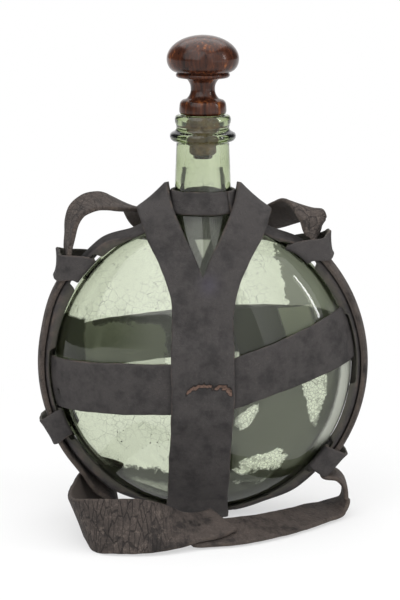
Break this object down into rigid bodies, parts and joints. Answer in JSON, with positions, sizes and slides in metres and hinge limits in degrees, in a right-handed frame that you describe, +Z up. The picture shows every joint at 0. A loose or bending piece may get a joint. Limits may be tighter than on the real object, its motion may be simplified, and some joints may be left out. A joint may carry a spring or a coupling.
{
  "type": "glass canteen",
  "caption": "Lens-shaped green glass flask in a leather strap harness with keepers and a carrying sling, closed by a turned wooden stopper with a cork sleeve.",
  "frame": {"origin": "middle of the flat underside of the body strap, on the surface that the canteen stands on", "axes": "+Z up along the neck, +X to the right seen from the front, -Y towards the front"},
  "size_m": [0.1769, 0.1237, 0.2579],
  "materials": {
    "glass": "pale green blown glass, glossy, with dried specks inside",
    "wood": "dark red-brown turned wood, polished",
    "cork": "aged cork, matte",
    "harness_leather": "grey-brown aged leather, matte, worn tan at cut edges",
    "sling_leather": "dry cracked brown leather, matte"
  },
  "bodies": {
    "flask": {"glass_flask": "glass", "body_strap": "harness_leather", "neck_band": "harness_leather", "cross_strap_front": "harness_leather", "cross_strap_back": "harness_leather", "rim_band": "harness_leather", "keeper_upper_left": "harness_leather", "keeper_upper_right": "harness_leather", "keeper_lower_left": "harness_leather", "keeper_lower_right": "harness_leather", "sling_left_run": "sling_leather", "sling_right_run": "sling_leather"},
    "stopper": {"stopper_knob": "wood", "stopper_cork": "cork"},
    "carry_loop": {"sling_carry_loop": "sling_leather"},
    "foot_loop": {"sling_foot_left": "sling_leather", "sling_foot_right": "sling_leather"}
  },
  "joints": [
    {"name": "stopper_lift", "type": "slide", "parent": "flask", "child": "stopper", "axis": [0, 0, 1], "range_m": [0, 0.04]},
    {"name": "carry_loop_swing", "type": "hinge", "parent": "flask", "child": "carry_loop", "pos_m": [0, 0, 0.16], "axis": [1, 0, 0], "range_deg": [0, 14]},
    {"name": "foot_loop_swing", "type": "hinge", "parent": "flask", "child": "foot_loop", "pos_m": [0, 0, 0.015], "axis": [-1, 0, 0], "range_deg": [0, 22]}
  ]
}
